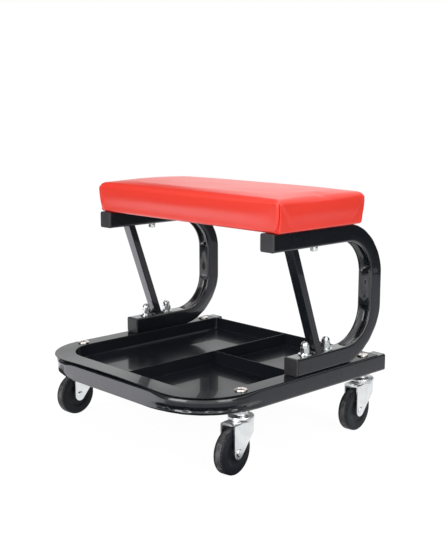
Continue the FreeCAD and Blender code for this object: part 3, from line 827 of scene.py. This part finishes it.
def seatBoard():
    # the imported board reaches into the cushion's lower rounds, this one doesn't
    midY, deep = (board["front"] + board["rear"]) / 2, (board["rear"] - board["front"]) / 2
    aside, rise = board["shoulder"]
    loops = []
    for inset, z in ((board["round"], board["bottom"]), (aside, board["bottom"] + rise),
                     (0, board["bottom"] + board["round"]), (0, board["top"])):
        loops.append([Vector((sx * (board["half"] - inset), midY + sy * (deep - inset), z))
                      for sx, sy in ((-1, -1), (1, -1), (1, 1), (-1, 1))])
    piece = addPiece("seatBoard", skin("seatBoard", loops), wood, "base")
    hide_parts("seat_board")


seatBoard()
cushion = seatCushion()
print("cushion made:", len(cushion.data.vertices), "points")


wheel = {"radius": 0.03175, "half": 0.0082, "round": 0.0032, "hub": 0.009, "hubHalf": 0.0098, "ring": 0.0185,
         "recess": 0.0013, "bore": 0.0058, "chamfer": 0.0004, "trail": 0.020, "screwX": 0.1784,
         "frontY": -0.1056, "rearY": 0.1534}
toes = {"front_left": 5.0, "front_right": 9.0, "rear_left": 7.0, "rear_right": 5.5}


def casterSpot(corner):
    return (wheel["screwX"] * (1 if "right" in corner else -1),
            wheel["frontY"] if "front" in corner else wheel["rearY"])


def turnedPiece(name, mesh, finish):
    piece = addObject(name, mesh.copy())
    piece.data.materials.append(finish)
    smoothFaces(piece.data, 40)
    return piece


def lathe(name, profile, steps, axis="X"):
    # (radius, distance along the axis) points turned once round
    rings = []
    for i in range(steps):
        angle = 2 * math.pi * i / steps
        spots = [(along, radius * math.cos(angle), radius * math.sin(angle)) for radius, along in profile]
        rings.append([Vector(spot if axis == "X" else spot[1:] + spot[:1]) for spot in spots])
    rings.append(rings[0])
    shape = bmesh.new()
    shape.from_mesh(skin(name, rings, ends=False))
    bmesh.ops.remove_doubles(shape, verts=shape.verts, dist=1e-7)
    bmesh.ops.recalc_face_normals(shape, faces=shape.faces)
    return meshFrom(shape, name)


def arc(centreRadius, centreAlong, radius, start, end, count):
    angles = [math.radians(start + (end - start) * i / count) for i in range(count + 1)]
    return [(centreRadius + radius * math.cos(a), centreAlong + radius * math.sin(a)) for a in angles]


def wheelProfile():
    radius, half, edge, hub, hubHalf, ring, recess, bore, chamfer = list(wheel.values())[:9]
    web = half - recess
    side = [(bore, hubHalf - chamfer), (bore + chamfer, hubHalf), (hub - chamfer, hubHalf),
            (hub, hubHalf - chamfer), (hub + 0.0008, web + 0.0003), (hub + 0.0018, web),
            (ring - 0.0012, web + 0.0001), (ring, web + 0.0006), (ring + 0.0009, half - 0.0002),
            (ring + 0.0018, half), (radius - edge - 0.0003, half)]
    side += arc(radius - edge, half - edge, edge, 90, 8, 7)
    side += [(radius, half - edge - 0.0016), (radius + 0.00005, 0.0016)]
    return side + [(away, -along) for away, along in reversed(side)]


def casterWheels():
    mesh = lathe("wheel", wheelProfile(), 96)
    for corner in corners:
        x, y = casterSpot(corner)
        toe, trail = math.radians(toes[corner]), wheel["trail"]
        centre = Vector((x + trail * math.sin(toe), y - trail * math.cos(toe), wheel["radius"]))
        piece = turnedPiece("wheel." + corner, mesh, rubber)
        piece.matrix_world = Matrix.Translation(centre) @ Matrix.Rotation(toe, 4, "Z")
        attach(piece, "roller_" + corner)
        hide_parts(corner + "_wheel")


race = {"neck": 0.0095, "top": 0.0843, "disc": 0.0182, "discTop": 0.0778, "skirt": 0.07255, "under": 0.0758,
        "hole": 0.004, "chamfer": 0.0005, "fillet": 0.0015}


def casterRaces():
    neck, top, disc, discTop, skirt, under, hole, chamfer, fillet = race.values()
    profile = [(hole, top), (neck - chamfer, top), (neck, top - chamfer)]
    for angle in (math.radians(a) for a in (0, 30, 60, 90)):
        profile.append((neck + fillet * (1 - math.cos(angle)), discTop + fillet * (1 - math.sin(angle))))
    profile += [(disc - 0.0018, discTop), (disc - 0.0011, discTop - 0.0001),
                (disc - 0.0005, discTop - 0.0004), (disc - 0.0001, discTop - 0.0011), (disc, skirt + 0.0010),
                (disc - 0.0002, skirt + 0.0002), (disc - 0.0008, skirt), (disc - 0.0013, skirt + 0.0006),
                (disc - 0.0020, under), (hole, under)]
    mesh = lathe("race", profile, 72, "Z")
    for corner in corners:
        piece = turnedPiece("race." + corner, mesh, zinc)
        piece.location = (*casterSpot(corner), 0)
        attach(piece, "base")
        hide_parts(corner + "_race")


screw = {"head": 0.0088, "flat": 0.0070, "rise": 0.0034, "crown": 0.0010, "drop": 0.0014, "shank": 0.0040,
         "level": 0.1109, "end": 0.0679, "armHalf": 0.0008, "armLength": 0.0037, "deep": 0.0017, "rows": 36,
         "steps": 80}


def screwHeight(x, y):
    # pan head: flat crown, round shoulder and a cross recess
    radius = math.hypot(x, y)
    if radius < screw["flat"]:
        z = screw["rise"] - screw["crown"] * (radius / screw["flat"]) ** 2
    else:
        over = (radius - screw["flat"]) / (screw["head"] - screw["flat"])
        z = screw["rise"] - screw["crown"] - screw["drop"] * (1 - math.sqrt(max(0.0, 1 - over ** 2)))
    recess = 0.0
    for along, aside in ((abs(x), abs(y)), (abs(y), abs(x))):
        inside = ease((screw["armHalf"] - aside) / 0.0003 + 0.5)
        inside *= ease((screw["armLength"] - along) / 0.0004 + 0.5)
        recess = max(recess, inside * (1 - 0.6 * along / screw["armLength"]))
    return z - screw["deep"] * recess


def casterScrews():
    rows = [screw["head"] * i / screw["rows"] for i in range(1, screw["rows"] + 1)]
    angles = [2 * math.pi * i / screw["steps"] for i in range(screw["steps"])]
    low = screw["level"] + 0.00005
    shape = bmesh.new()
    for corner in corners:
        x, y = casterSpot(corner)
        turn = math.radians(35 * corners.index(corner) + 20)
        rings = []
        for radius in rows:
            ring = []
            for angle in angles:
                a, b = radius * math.cos(angle), radius * math.sin(angle)
                ring.append(Vector((x + a * math.cos(turn) - b * math.sin(turn),
                                    y + a * math.sin(turn) + b * math.cos(turn),
                                    screw["level"] + screwHeight(a, b))))
            rings.append(ring)
        for radius, z in ((screw["head"], screw["level"] + 0.0004), (screw["head"] - 0.0004, low),
                          (screw["shank"], low), (screw["shank"], screw["end"])):
            rings.append([Vector((x + radius * math.cos(a + turn), y + radius * math.sin(a + turn), z))
                          for a in angles])
        shape.from_mesh(skin("screw", rings))
    piece = addPiece("casterScrews", meshFrom(shape, "casterScrews"), screwNickel, "base",
                     sharp=40)
    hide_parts("caster_screws")


casterWheels()
casterRaces()
for corner in corners:
    softened(corner + "_fork", "fork." + corner, zinc, 0.0006)
    softened(corner + "_axle", "axle." + corner, zinc, 0.0003)
print("casters built")


# struts with a bead round the foot; wide and deep are halves of the section
strut = {"x": 0.178, "foot": (0.0450, 0.1363), "top": (-0.0100, 0.2914), "wide": 0.008, "deep": 0.00637,
         "round": 0.0009, "bead": 0.0043, "beadHalf": 0.0073, "sideBead": 0.0022, "beadStep": 0.0038}


def weldBead(first, last, radius, seed):
    run, rings = last - first, []
    aside = run.cross(Vector((0, 0, 1))).normalized()
    for i in range(17):
        share = i / 16
        size = radius * (0.86 + 0.13 * wave(share * run.length, strut["beadStep"], seed))
        size *= max(0.2, 1 - (2 * share - 1) ** 4) ** 0.5
        rings.append([first + run * share + aside * size * math.cos(math.pi * k / 12)
                      + Vector((0, 0, size * math.sin(math.pi * k / 12))) for k in range(13)])
    return skin("bead", rings)


def struts():
    wide, deep, small = strut["wide"], strut["deep"], strut["round"]
    for side, sign in (("left", -1), ("right", 1)):
        x = sign * strut["x"]
        rings = []
        for i in range(9):
            y, z = (low + (high - low) * i / 8 for low, high in zip(strut["foot"], strut["top"]))
            ring = []
            for right, back, start in ((1, 1, 0), (-1, 1, 90), (-1, -1, 180), (1, -1, 270)):
                for k in range(5):
                    angle = math.radians(start + 22.5 * k)
                    ring.append(Vector((x + right * (wide - small) + small * math.cos(angle),
                                        y + back * (deep - small) + small * math.sin(angle), z)))
            rings.append(ring)
        shape = bmesh.new()
        shape.from_mesh(skin("strut", rings))
        y, z = strut["foot"]
        front, back, reach = y - deep, y + deep, strut["beadHalf"]
        for first, last, radius in (((x - reach, front, z), (x + reach, front, z), strut["bead"]),
                                    ((x - wide, front, z), (x - wide, back, z), strut["sideBead"]),
                                    ((x + wide, front, z), (x + wide, back, z), strut["sideBead"])):
            shape.from_mesh(weldBead(Vector(first), Vector(last), radius, sign))
        name = "strut." + side
        piece = addPiece(name, meshFrom(shape, name), paint, "base", sharp=50)
        steadyNormals(piece)
        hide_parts("strut_" + side)


struts()
for side in ("left", "right"):
    for where in ("upper", "lower"):
        softened(f"{where}_arm_cap_{side}", f"{where}Plug.{side}", plastic, 0.0008)
    softened("base_end_cap_" + side, "basePlug." + side, plastic, 0.0008)
for node, name in (("acorn_nuts", "acornNuts"), ("arm_bolts", "armBolts"),
                   ("arm_bolt_washers", "armWashers")):
    softened(node, name, nickel, 0.0003)
casterScrews()
softened("seat_bolts", "seatBolts", nickel, 0.0003)
softened("seat_bolt_washers", "seatWashers", nickel, 0.0002)

slots = {"seat_foam": foam, "seat_tee_nuts": nickel, "seat_bolt_spring_washers": nickel,
         "arm_bolt_spring_washers": nickel}
for corner in corners:
    slots[corner + "_balls"] = ballSteel
    slots[corner + "_kingpin"] = zinc
    slots[corner + "_bush"] = plastic
for name, finish in slots.items():
    for place in nodes[name].material_slots:
        place.material = finish
print("hardware finished")


light = {"world": 0.42, "shadow": 0.10, "white": 1.07, "grey": (0.86, 0.86, 0.86, 1), "plain": (1, 1, 1, 1),
         "floorHalf": 6, "aim": (0, 0, 0.15)}
# place, size, power
lamps = {"keyLamp": ((0.1, -2.1, 0.95), 1.2, 22.5), "fillLamp": ((1.9, -0.2, 1.0), 1.2, 16.0),
         "topLamp": ((0.0, 0.1, 2.0), 1.4, 13.5)}


def whiteFor(wire):
    # 1 for the rays that see the white sweep: camera, gloss and transmission
    camera, glossy, through = (wire.node("ShaderNodeLightPath", None, None, name)
                               for name in ("Is Camera Ray", "Is Glossy Ray", "Is Transmission Ray"))
    return wire.maths("MAXIMUM", camera, wire.maths("MAXIMUM", glossy, through))


def paleFloor():
    shape = bmesh.new()
    bmesh.ops.create_grid(shape, x_segments=1, y_segments=1, size=light["floorHalf"])
    mesh = meshFrom(shape, "floor")
    floor = addObject("floor", mesh)
    finish, wire = startFinish("pale floor")
    dull = wire.node("ShaderNodeBsdfDiffuse", None, {"Color": light["grey"]})
    white = wire.node("ShaderNodeEmission", None, {"Color": light["plain"], "Strength": light["white"]})
    share = whiteFor(wire) * (1 - light["shadow"])
    mixed = wire.node("ShaderNodeMixShader", None, {0: share, 1: dull, 2: white})
    wire.node("ShaderNodeOutputMaterial", None, {"Surface": mixed})
    mesh.materials.append(finish)


def whiteRoom():
    world = bpy.data.worlds.new("white room")
    world.use_nodes = True
    world.node_tree.nodes.clear()
    scene.world = world
    wire = Wire(world.node_tree)
    soft = wire.node("ShaderNodeBackground", None, {"Color": light["plain"], "Strength": light["world"]})
    white = wire.node("ShaderNodeBackground", None, {"Color": light["plain"], "Strength": 1.0})
    mixed = wire.node("ShaderNodeMixShader", None, {0: whiteFor(wire), 1: soft, 2: white})
    wire.node("ShaderNodeOutputWorld", None, {"Surface": mixed})


def hangLamps():
    for name, (spot, size, power) in lamps.items():
        lamp = bpy.data.lights.new(name, "AREA")
        lamp.shape, lamp.size, lamp.energy = "SQUARE", size, power
        holder = addObject(name, lamp)
        holder.location = spot
        holder.rotation_euler = (Vector(light["aim"]) - Vector(spot)).to_track_quat("-Z", "Y").to_euler()


# painted reflections: sheets that glow or stay dark, seen only by gloss and lighting nothing, no lamps; the
# bright ones are painted highlights, the dark ones painted shade in reflections, the one under the frame a
# painted shadow. Strength, level and corners, or strength, angle, distance, width, foot and top
paintedReflections = {
    "colour": (0.985, 0.975, 1.05, 1),
    "lying": (
        ("front left card", 1.6, 0.0004,
         ((-0.7, -0.7), (-0.02, -0.7), (-0.02, -0.33), (-0.27, -0.33), (-0.27, -0.25), (-0.7, -0.25))),
        ("left card", 1.9, 0.0004, ((-0.8, -0.25), (-0.29, -0.25), (-0.29, 0.05), (-0.8, 0.05))),
        ("front right card", 0.42, 0.0004,
         ((-0.02, -0.7), (0.6, -0.7), (0.6, -0.15), (0.36, -0.15), (0.30, -0.28), (-0.02, -0.30))),
        ("back right card", 0.45, 0.0004, ((0.36, -0.15), (1.3, -0.15), (1.3, 1.6), (0.1, 1.6), (0.36, 0.5))),
        ("painted shade under frame", 0.01, 0.0007,
         ((-0.02, -0.36), (0.06, -0.41), (0.18, -0.40), (0.31, -0.32), (0.38, -0.19), (0.34, -0.08),
          (0.2, -0.05), (0.15, -0.05), (0.145, -0.095), (0.125, -0.125), (0.09, -0.145), (-0.02, -0.14))),
        ("grey nose card", 0.5, 0.0006,
         ((-0.50, -0.31), (-0.39, -0.31), (-0.39, -0.13), (-0.455, -0.15), (-0.50, -0.20))),
        ("nose card", 0.01, 0.0007,
         ((-0.42, -0.27), (-0.21, -0.26), (-0.21, -0.09), (-0.355, -0.075), (-0.42, -0.13)))),
    "standing": (
        ("right card", 0.01, 46.0, 0.95, 2.2, 0.108, 0.8), ("front card", 0.01, 226.0, 1.35, 1.9, 0.0, 1.2),
        ("far left card", 0.01, 275.0, 1.4, 1.7, 0.8, 2.2))}


def addPaintedReflection(name, strength, spots):
    # only gloss sees it: a glowing or dark sheet, no lamp, that paints a reflection or painted shade into the
    # gloss
    finish, wire = startFinish(name)
    glow = wire.node("ShaderNodeEmission", None, {"Color": paintedReflections["colour"], "Strength": strength})
    wire.node("ShaderNodeOutputMaterial", None, {"Surface": glow})
    mesh = bpy.data.meshes.new(name)
    mesh.from_pydata(spots, [], [tuple(range(len(spots)))])
    mesh.materials.append(finish)
    piece = addObject(name, mesh)
    piece.visible_camera = piece.visible_diffuse = piece.visible_shadow = piece.visible_transmission = False


def addCards():
    for name, strength, level, outline in paintedReflections["lying"]:
        addPaintedReflection(name, strength, [(x, y, level) for x, y in outline])
    for name, strength, around, away, wide, low, high in paintedReflections["standing"]:
        turn = math.radians(around)
        out, along = Vector((math.sin(turn), math.cos(turn), 0)), Vector((math.cos(turn), -math.sin(turn), 0))
        addPaintedReflection(name, strength, [out * away + along * side * wide / 2 + Vector((0, 0, z))
                                 for side, z in ((-1, low), (1, low), (1, high), (-1, high))])


paleFloor()
whiteRoom()
hangLamps()
# painted highlights and painted shade, seen only in reflections
addCards()
scene.view_settings.view_transform = "Standard"
print("lit")
